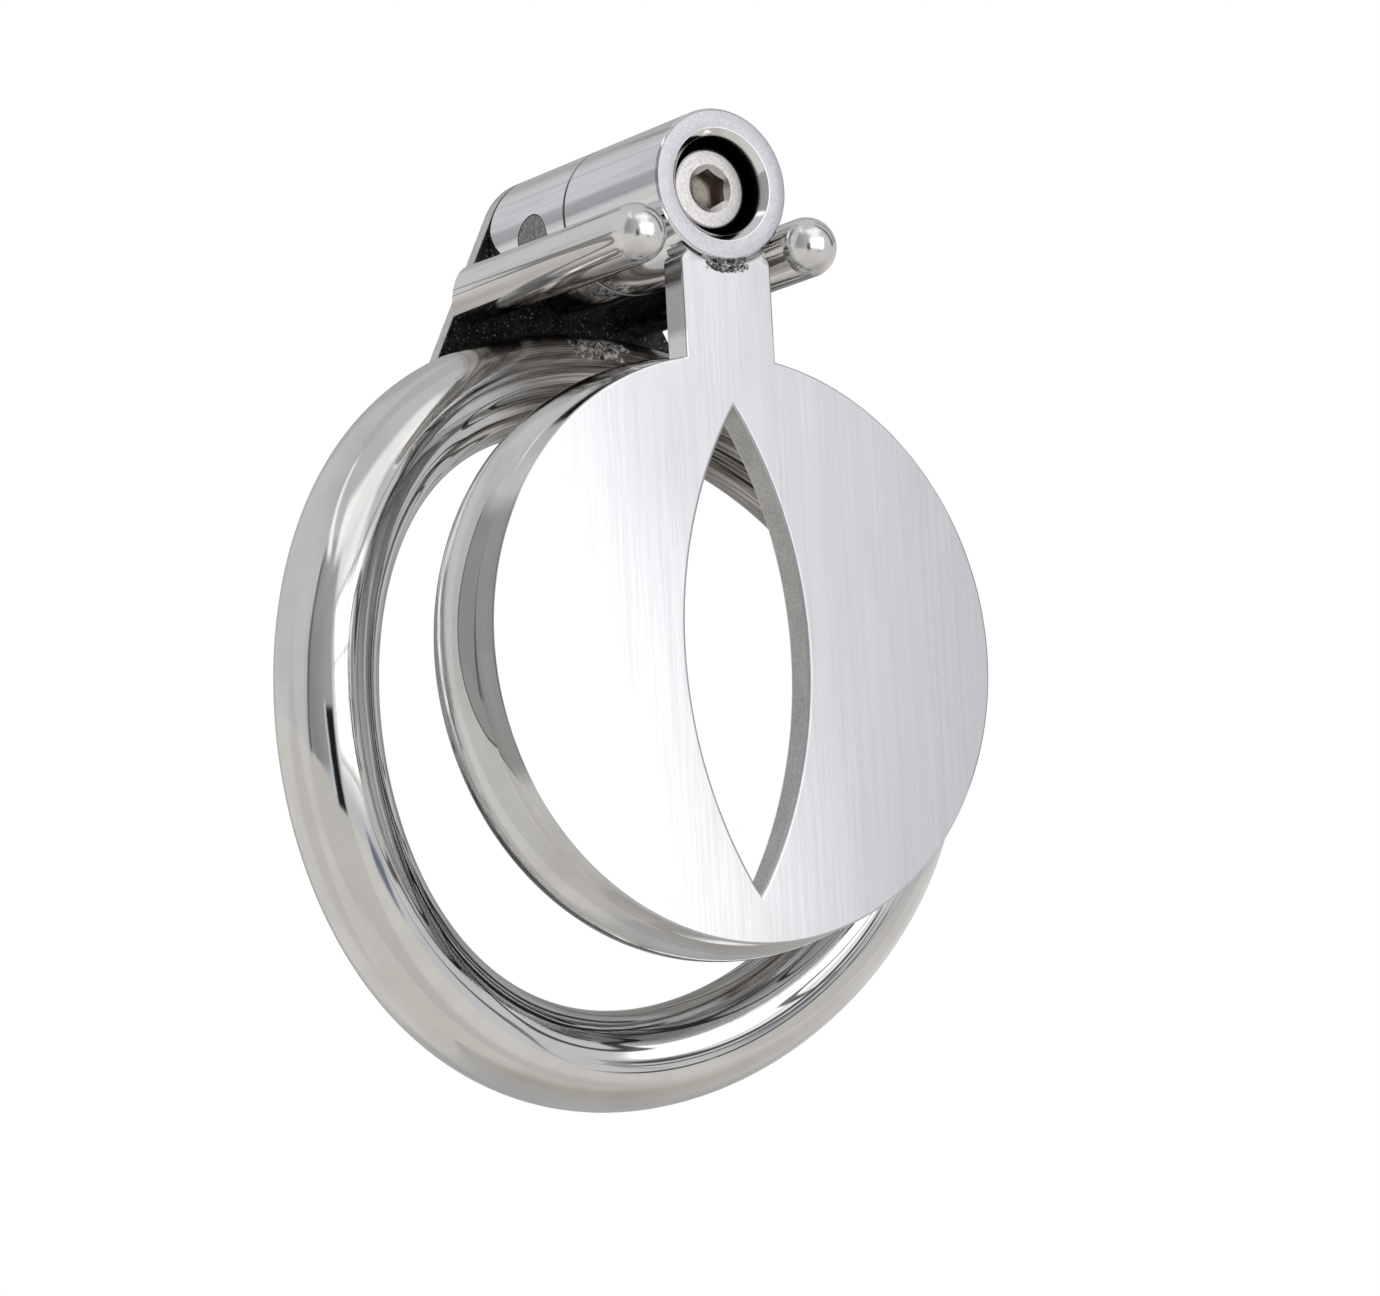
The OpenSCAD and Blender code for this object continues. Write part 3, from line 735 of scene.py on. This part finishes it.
def make_beads():
    """The ring's closing bead, the one behind the bracket and the small one under the barrel."""
    shape = bead_shape()
    bright = weld_ripple("weld_bright", (0.02, 0.018, 0.016), (0.30, 0.285, 0.27), (0.95, 0.94, 0.93))
    sooty = weld_ripple("weld_sooty", (0.01, 0.01, 0.01), (0.10, 0.097, 0.092), (0.50, 0.49, 0.48))

    def bead(name, body, node, material, ends, lengths, **counts):
        """A bead between two angles in degrees, its lengths in millimetres."""
        start, end = (math.radians(angle) for angle in ends)
        sizes = {"From": start, "To": end, **{key: value * MM for key, value in lengths.items()}}
        sizes.update({key.replace("_", " "): value for key, value in counts.items()})
        mesh = shape.made(sizes, material)
        finished(name, mesh, [material], body, "weld", node, sharp=60)

    sunk = BAR_R + RING_BEAD_STANDS - RING_BEAD_R
    bead("ring_seam_bead", "base", "ring_weld", bright, (-5, 8),
         {"Reach": RING_R + sunk * math.cos(RING_BEAD_LEAN), "Height": 0.0,
          "Depth": BOW / 2 + sunk * math.sin(RING_BEAD_LEAN), "Radius": RING_BEAD_R, "Lump Height": 0.85},
         Ripples=5.0, Ripple_Height=0.1, Lump_Scale=620.0, Steps=120, Sides=72, Seed=3.0)
    bead("bracket_back_bead", "base", "bracket_weld", bright, (-19.2, 22.7),
         {"Reach": FOOT_BEAD_REACH, "Height": 0.0,
          "Depth": BRACKET_HI.y, "Radius": FOOT_BEAD_R, "Lump Height": 0.08},
         Ripples=26.0, Ripple_Height=0.16, Lump_Scale=700.0, Steps=320, Sides=40, Seed=5.0)
    bead("neck_bead", "front", "neck_weld", sooty, (180 - 22, 180 + 22),
         {"Reach": NECK_BEAD_REACH, "Height": AXIS_Z,
          "Depth": FACE_Y + NECK_BEAD_DEPTH, "Radius": NECK_BEAD_R, "Lump Height": 0.2},
         Ripples=9.0, Ripple_Height=0.3, Lump_Scale=1300.0, Steps=160, Sides=32, Seed=9.0)


def shoulder(angle):
    """Where the bracket's front meets the ring's back shoulder, at that angle from the top."""
    lean = -BOW * math.sin(2 * angle) / RING_R
    back_y = 1 / math.sqrt(1 + lean ** 2)
    bar_angle = math.asin((BRACKET_LO.y - BOW / 2 * math.cos(2 * angle)) / (BAR_R * back_y))
    reach = RING_R + BAR_R * math.cos(bar_angle)
    along = -lean * back_y * BAR_R * math.sin(bar_angle)
    return (reach * math.sin(angle) + along * math.cos(angle),
            reach * math.cos(angle) - along * math.sin(angle))


def bracket_foot():
    """The bracket's lower edge, and the angles at which its left and right sides touch the barrel."""
    left, right = (math.asin(x / (RING_R + BAR_R)) for x in (BRACKET_LO.x, BRACKET_HI.x))
    bottom = [shoulder(right + (left - right) * i / 40) for i in range(41)]
    touches = []
    for x, z in (bottom[-1], bottom[0]):
        corner = Vector((abs(x), z - AXIS_Z))
        touches.append(math.degrees(math.atan2(corner.y, corner.x) + math.acos(BARREL_R / corner.length)))
    return bottom, touches


def make_bracket():
    bottom, (touch_left, touch_right) = bracket_foot()
    outline = bottom + arc((0, AXIS_Z), BARREL_R, 180 - touch_left, touch_right, 60)
    mesh = slab(outline, None, BRACKET_LO.y, BRACKET_HI.y, BRACKET_EASE)
    mesh.polygons.foreach_set("material_index", [0] * len(mesh.polygons))
    finished("rear_bracket", mesh, [bracket_rough()], "base", "rough_steel", "bracket_plate")


def dowel_hole():
    """What the dowel's hole takes out, from outside the barrel on its left to 3 mm from its axis."""
    hole_r, sides, left, right = DOWEL_R + DOWEL_GAP, 72, -8, -3
    points = [(x, DOWEL_Y + r * math.sin(a * TURN / sides), DOWEL_Z + r * math.cos(a * TURN / sides))
              for x, r in ((left, 0), (left, hole_r), (right, hole_r), (right, 0)) for a in range(sides)]
    return mesh_of(points, round_faces(4, sides))


def make_rear_barrel():
    line = eased([(INSERT_HI.y, 0, 0), (INSERT_HI.y, INSERT_HOLE_R, 0), (REAR_LO.y, INSERT_HOLE_R, 0.15),
                  (REAR_LO.y, BARREL_R, 0.22), (REAR_HI.y, BARREL_R, 0.22), (REAR_HI.y, 0, 0)])
    mesh = cut_out(turned(line, 160), dowel_hole())
    piece = finished("rear_barrel_half", mesh, [barrel_satin()], "base", "polished_steel", "rear_barrel")
    round_normals(piece.data)


def round_normals(mesh):
    """The barrel's side shaded as a true cylinder, whatever the cut left of its faces."""
    normals = [Vector(corner.vector) for corner in mesh.corner_normals]
    for face in mesh.polygons:
        for loop in face.loop_indices:
            point = mesh.vertices[mesh.loops[loop].vertex_index].co / MM
            out = Vector((point.x, 0, point.z - AXIS_Z))
            if abs(out.length - BARREL_R) < 0.01 and face.normal.dot(out.normalized()) > 0.98:
                normals[loop] = out.normalized()
    mesh.normals_split_custom_set(normals)


def make_dowel():
    """The dowel, its end ground to the barrel's curve and sunk a little at its edge."""
    sides = 72
    cap = [(0, 0), (0.5, 0), (1, 0), (1.4, 0), (1.8, 0), (2.1, 0),
           (DOWEL_R - 0.14, 0), (DOWEL_R - 0.06, 0.03), (DOWEL_R, 0.14)]
    turns = [(math.sin(a * TURN / sides), math.cos(a * TURN / sides)) for a in range(sides)]
    rows = []
    for reach, sink in cap:
        row = [(DOWEL_Y + reach * sine, DOWEL_Z + reach * cosine) for sine, cosine in turns]
        rows.append([(sink - math.sqrt(BARREL_R ** 2 - (z - AXIS_Z) ** 2), y, z) for y, z in row])
    rows.append([(DOWEL_HI.x, y, z) for _, y, z in rows[-1]])
    rows.append([(DOWEL_HI.x, DOWEL_Y, DOWEL_Z)] * sides)
    mesh = mesh_of([point for row in rows for point in row], round_faces(len(rows), sides))
    finished("dowel_end", mesh, [dowel_ground()], "base", "dowel_end", "insert_dowel")


def threaded_points(line, sides):
    """A line (y, r, cut) turned about the barrel's axis; where cut isn't 0 the surface dips along a helix."""
    points = []
    for y, r, cut in line:
        for a in range(sides):
            phase = (y / THREAD_PITCH + a / sides) % 1.0
            dip = min(max(abs(phase - 0.5) * 2 * 1.3 - 0.15, 0.0), 1.0)
            radius, angle = r - cut * THREAD_DEPTH * dip, a * TURN / sides
            points.append((radius * math.sin(angle), y, AXIS_Z + radius * math.cos(angle)))
    return points


def make_insert():
    front, back, sides = INSERT_LO.y, INSERT_HI.y, 64
    steps, chamfer = int((back - front) / THREAD_PITCH * 8), 0.1
    line = [(front, INSERT_R - chamfer, 0), (front, INSERT_BORE_R + 0.5, 0)]
    for i in range(steps + 1):
        y = front + 0.3 + (back - front - 0.4) * i / steps
        line.append((y, INSERT_BORE_R, -1 if i < steps else 0))
    line += [(back, INSERT_BORE_R, 0), (back, INSERT_R - chamfer, 0), (back - chamfer, INSERT_R, 0),
             (front + chamfer, INSERT_R, 0), (front, INSERT_R - chamfer, 0)]
    mesh = mesh_of(threaded_points(line, sides), round_faces(len(line), sides))
    finished("threaded_insert", cut_out(mesh, dowel_hole()), [insert_steel()], "base",
             "screw_steel", "thread_insert")


def make_rods():
    material = rod_polish()
    nose = ROD_LO.y + ROD_R
    angles = [i / 24 * math.pi / 2 for i in range(25)]
    line = [(nose - ROD_R * math.cos(angle), ROD_R * math.sin(angle)) for angle in angles]
    line += [(nose + (ROD_HI.y - nose) * i / 12, ROD_R) for i in range(1, 13)]
    line.append((ROD_HI.y, 0))
    for side, name, node in ((-1, "guide_rod_left", "left_guide_rod"),
                             (1, "guide_rod_right", "right_guide_rod")):
        rod = turned(line, 80, x=side * (ROD_OUT - ROD_R), z=ROD_Z)
        finished(name, cut_out(rod, side_grind(side)), [material], "base", "polished_steel", node)


def side_grind(side):
    """A wedge that takes off what stands past the bracket's side, on a slope that runs out forward."""
    angle = math.radians(bracket_foot()[1][side > 0])
    reach, length, behind = 12.0, 15, 2
    run = (reach - BARREL_R) / math.tan(GRIND_SLOPE)
    corners = [(BARREL_R, 0), (reach, -run), (reach, behind), (BARREL_R, behind)]
    points = [(side * (out * math.cos(angle) - along * math.sin(angle)), BRACKET_LO.y + y,
               AXIS_Z + out * math.sin(angle) + along * math.cos(angle))
              for along in (-length, length) for out, y in corners]
    walls = [(i, (i + 1) % 4, (i + 1) % 4 + 4, i + 4) for i in range(4)]
    return mesh_of(points, [(0, 1, 2, 3), (4, 5, 6, 7)] + walls)


# ------------ front


def make_front_barrel():
    line = eased([(FACE_Y, BORE_R + MOUTH, 0.04), (FACE_Y, BARREL_R - 0.2, 0.03),
                  (FACE_Y + 0.2, BARREL_R, 0.05), (SPLIT_Y, BARREL_R, 0.3), (SPLIT_Y, SHANK_R, 0.1),
                  (SEAT_Y, SHANK_R, 0), (SEAT_Y, BORE_R, 0), (FACE_Y + MOUTH, BORE_R, 0.04)], closed=True)
    finished("front_barrel_half", turned(line, 192, closed=True), [barrel_satin()], "front",
             "polished_steel", "front_barrel")


def make_plate(rim):
    """Disc and neck in one sheet with a pointed slit, the neck's end hollowed for the barrel."""
    corner_x, corner_z = NECK_W / 2 - NECK_CORNER, NECK_TOP - NECK_CORNER
    meet = math.degrees(math.acos(NECK_W / 2 / DISC_R))
    horn = math.degrees(math.asin((NECK_W / 2 - HORN_TIP) / SADDLE_R))
    outline = arc((0, DISC_Z), DISC_R, 180 - meet, 360 + meet, 300)
    outline += arc((corner_x, corner_z), NECK_CORNER, 0, 62, 8)
    outline += arc((0, AXIS_Z), SADDLE_R, 270 + horn, 270 - horn, 28)
    outline += arc((-corner_x, corner_z), NECK_CORNER, 118, 180, 8)
    side_r = ((SLIT_H / 2) ** 2 + (SLIT_W / 2) ** 2) / SLIT_W
    sweep = math.degrees(math.asin(SLIT_H / 2 / side_r))
    middle = DISC_Z - SLIT_DROP
    slit = arc((SLIT_W / 2 - side_r, middle), side_r, -sweep, sweep, 60)[:-1]
    slit += arc((side_r - SLIT_W / 2, middle), side_r, 180 - sweep, 180 + sweep, 60)[:-1]
    mesh = slab(outline, slit, PLATE_LO.y, PLATE_HI.y, PLATE_EASE, SLIT_EASE)
    finished("slotted_plate", mesh, [plate_brush(), cut_edge(), rim], "front", "brushed_steel", "front_plate")


def make_rim(rim):
    """A swelled band behind the disc, a groove where they meet and its rear edge round."""
    depth, inner = RIM_HI.y - RIM_LO.y, RIM_R - RIM_WALL
    swell = 0.6 * depth
    line = []
    for i in range(25):
        d = GROOVE + (depth - RIM_EDGE_R - GROOVE) * i / 24
        line.append((RIM_LO.y + d, RIM_R - RIM_SIDE_R + math.sqrt(RIM_SIDE_R ** 2 - (d - swell) ** 2)))
    seam_r = line[0][1] - GROOVE * 0.9
    edge_y, edge_r = RIM_HI.y - RIM_EDGE_R, line[-1][1] - RIM_EDGE_R
    angles = [i / 10 * math.pi / 2 for i in range(11)]
    quarter = [(RIM_EDGE_R * math.sin(t), RIM_EDGE_R * math.cos(t)) for t in angles]
    line += [(edge_y + sine, edge_r + cosine) for sine, cosine in quarter[1:]]
    line += [(edge_y + cosine, inner + RIM_EDGE_R - sine) for sine, cosine in quarter]
    line += [(RIM_LO.y, inner), (RIM_LO.y, seam_r)]
    finished("plate_rim_band", turned(line, 288, closed=True, z=DISC_Z), [rim], "front",
             "polished_steel", "plate_rim")


# ------------ screw


def make_screw():
    """Socket head, hexagon with a chamfered mouth, and a rolled thread."""
    sides = 96
    flats = [SOCKET_FLAT / math.cos((a * TURN / sides) % (TURN / 6) - TURN / 12) for a in range(sides)]
    mouth = SOCKET_FLAT / math.cos(math.pi / 6) + SOCKET_MOUTH
    floor_y, under, tip = HEAD_Y + SOCKET_DEPTH, HEAD_Y + HEAD_H, SCREW_TIP_Y
    rows = [[(floor_y + 0.5, 0.0)] * sides,
            [(floor_y + 0.05, 1.15)] * sides,
            [(floor_y, r) for r in flats],
            [(HEAD_Y + (mouth - r) * 0.55 + 0.05, r) for r in flats],
            [(HEAD_Y + (mouth - r) * 0.55, r + 0.02) for r in flats],
            [(HEAD_Y, mouth)] * sides]
    face = eased([(HEAD_Y, mouth + 0.05, 0), (HEAD_Y, HEAD_R, HEAD_EASE), (under, HEAD_R, UNDER_EASE),
                  (under, THREAD_R, 0)])
    rows += [[tuple(point)] * sides for point in face]
    head = [(r * math.sin(a * TURN / sides), y, AXIS_Z + r * math.cos(a * TURN / sides))
            for row in rows for a, (y, r) in enumerate(row)]
    thread = under + PLAIN_SHANK
    steps = int((tip - thread) / THREAD_PITCH * 10)
    line = [(under + 0.3, THREAD_R, 0), (thread, THREAD_R, 0)]
    for i in range(1, steps + 1):
        y = thread + (tip - thread - 0.02) * i / steps
        taper = max(0.0, y - (tip - TIP_TAPER))
        line.append((y, THREAD_R - taper, max(0.0, 1 - taper * 1.6)))
    line += [(tip, THREAD_R - TIP_TAPER - 0.05, 0), (tip, 0.0, 0)]
    mesh = mesh_of(head + threaded_points(line, sides), round_faces(len(rows) + len(line), sides))
    finished("socket_screw", mesh, [screw_satin()], "screw", "screw_steel", "clamp_screw", sharp=28)


# ------------ studio


def make_camera():
    """Looks up a little at the object from its left."""
    aim, distance = Vector((8.72, 0, 6.10)) * MM, 471.1 * MM
    heading, rise, roll = math.radians(33.57), math.radians(7.94), math.radians(-3.20)
    ahead = Vector((math.sin(heading) * math.cos(rise), math.cos(heading) * math.cos(rise), math.sin(rise)))
    level = Vector((math.cos(heading), -math.sin(heading), 0))
    right = level * math.cos(roll) + level.cross(ahead) * math.sin(roll)
    up = right.cross(ahead)
    data = bpy.data.cameras.new("camera")
    data.lens = 141.66
    data.sensor_width = 36
    data.clip_start = 0.01
    data.clip_end = 20
    camera = linked("camera", data)
    turn = Matrix((right, up, -ahead)).transposed().to_4x4()
    camera.matrix_world = Matrix.Translation(aim - ahead * distance) @ turn
    bpy.context.scene.camera = camera


# Patches of the studio, in degrees: left, right, low, high, softness and lean; then each one's colour.
PATCHES = (
    ((2, 13, 46, 76, 3, -1.15), (1.1, 1.1, 1.1)),            # leaning strip light
    ((-74, -69, -8, 46, 1.5, 0.22), (0.14, 0.135, 0.14)),    # dark edge of the screen
    ((-29, 42, 42, 60, 4), (1.08, 1.07, 1.06)),              # strip light over the window
    ((-14, 24, -10, 44, 5), (1.0, 1.0, 1.01)),               # window
    ((-35, -31, -18, 6, 1), (0.75, 0.85, 0.88)),             # pale edge beside the black card
    ((-32, -18, -21, 5, 1), (0.016, 0.016, 0.018)),          # black card
    ((12, 27, -22, -15, 2), (0.15, 0.18, 0.225)),            # dark blue sill
    ((80, 92, 6, 66, 1.5, -0.4), (0.02, 0.018, 0.017)),      # leaning black stand
    ((97, 106, 12, 60, 1.5), (0.03, 0.032, 0.036)),          # second stand
    ((104, 134, -18, 2, 5), (0.68, 0.68, 0.68)),             # low side light
)


def make_world():
    """White to the camera, and to the rest a light tent with a front window, a screen and warm ground."""
    world = bpy.data.worlds.new("studio")
    bpy.context.scene.world = world
    n = Nodes(world)
    x, y, z = n.parts(n.add("ShaderNodeTexCoord", out="Generated"))
    side = x.angle_from(-y) * DEGREES
    rise = z.max(-1.0).min(1.0).arcsine() * DEGREES

    def patch(left, right, low, high, soft=2.0, lean=0.0):
        """1 inside that part of the sky; lean slides it sideways as it rises."""
        across = side - rise * lean if lean else side
        return (across.between(left - soft, left + soft) * across.between(right + soft, right - soft)
                * rise.between(low - soft, low + soft) * rise.between(high + soft, high - soft))

    horizon = -8.0 + ((side + 250.0) / DEGREES).sine() * 14.0
    over = rise - horizon
    wall = n.blend(rise.between(45.0, 70.0), (0.58, 0.58, 0.60), (0.54, 0.545, 0.555))
    table = n.blend(rise.between(-30.0, -75.0), (0.64, 0.625, 0.60), (0.58, 0.56, 0.53))
    light = n.blend(over.between(-0.4, 0.4), table, wall)
    light = n.blend(patch(60, 148, -95, -40, 22), light, (0.42, 0.395, 0.365))
    behind = ((side - 56.4) / DEGREES).sine()
    light = n.blend(behind.between(0.80, 0.97) * rise.between(70.0, 50.0), light, (0.43, 0.425, 0.42))
    screen = n.blend(side.between(-66.0, -20.0), (0.30, 0.295, 0.30), (0.43, 0.425, 0.43))
    light = n.blend(patch(-69, -14, -12, 50, 2.5, 0.12) * over.between(-0.5, 0.5), light, screen)
    for place, colour in PATCHES:
        light = n.blend(patch(*place), light, colour)
    around = n.add("ShaderNodeBackground", None, {"Color": light, "Strength": 1.0})
    white = n.add("ShaderNodeBackground", None, {"Color": (1, 1, 1, 1), "Strength": 1.0})
    seen = n.add("ShaderNodeLightPath", out="Is Camera Ray")
    both = n.add("ShaderNodeMixShader", None, {0: seen, 1: around, 2: white})
    n.add("ShaderNodeOutputWorld", None, {"Surface": both})


def card(name, width, height, level, material):
    """A flat card, which takes no part in the object."""
    mesh = bpy.data.meshes.new(name)
    corners = [(x * width / 2, y * height / 2, level) for x, y in ((-1, -1), (1, -1), (1, 1), (-1, 1))]
    mesh.from_pydata(corners, [], [(0, 1, 2, 3)])
    mesh.materials.append(material)
    return linked(name, mesh)


def make_floor():
    """A pale floor just under the object, seen and lit from above only."""
    n = new_finish("floor_paper")
    grain = n.noise(n.place(), 900.0, 2.0)
    colour = n.blend(grain.between(0.3, 0.7), (0.90, 0.885, 0.86), (0.88, 0.865, 0.84))
    paper = n.add("ShaderNodeBsdfDiffuse", None, {"Color": colour})
    seen = n.add("ShaderNodeLightPath", out="Is Camera Ray")
    glow = n.add("ShaderNodeEmission", None, {"Color": colour, "Strength": seen * 0.42})
    paper = n.add("ShaderNodeAddShader", None, {0: paper, 1: glow})
    clear = n.add("ShaderNodeBsdfTransparent")
    under = n.add("ShaderNodeNewGeometry", out="Backfacing")
    mixed = n.add("ShaderNodeMixShader", None, {0: under, 1: paper, 2: clear})
    n.add("ShaderNodeOutputMaterial", None, {"Surface": mixed})
    floor = card("floor", 3.0, 3.0, cad_lo.z - 0.0002, n.owner)
    floor.visible_glossy = False


def make_window():
    """A lit window beside the camera, with glazing bars and soft edges, seen only in reflections."""
    width, height, bar = 0.29, 0.22, 0.0016
    n = new_finish("window_light")
    place = n.place()
    x, y, _ = n.parts(place)
    bars = (abs(x + 0.018) - bar).between(0.0, 0.001) * (abs(y - 0.02) - bar).between(0.0, 0.001)
    soft = (width / 2 - abs(x)).between(0.0, 0.02) * (height / 2 - abs(y)).between(0.0, 0.03)
    streaks = n.noise(n.stretched(place, 1.0, 0.15, 1.0), 60.0, 2.0).between(0.3, 0.7)
    bright = (0.6 + soft * (0.75 + streaks * 0.35)) * (0.45 + bars * 0.55)
    light = n.add("ShaderNodeEmission", None, {"Color": (1.0, 0.995, 1.0, 1.0), "Strength": bright})
    n.add("ShaderNodeOutputMaterial", None, {"Surface": light})
    window = card("window", width, height, 0, n.owner)
    window.location = (0.050, -0.285, 0.062)
    window.rotation_euler = window.location.to_track_quat("Z", "Y").to_euler()
    window.visible_camera = False


make_ring()
make_beads()
make_bracket()
make_rear_barrel()
make_dowel()
make_insert()
make_rods()
make_front_barrel()
polished_rim = rim_polish()
make_plate(polished_rim)
make_rim(polished_rim)
make_screw()
make_camera()
make_world()
make_floor()
make_window()

bpy.context.scene.view_settings.view_transform = "Standard"
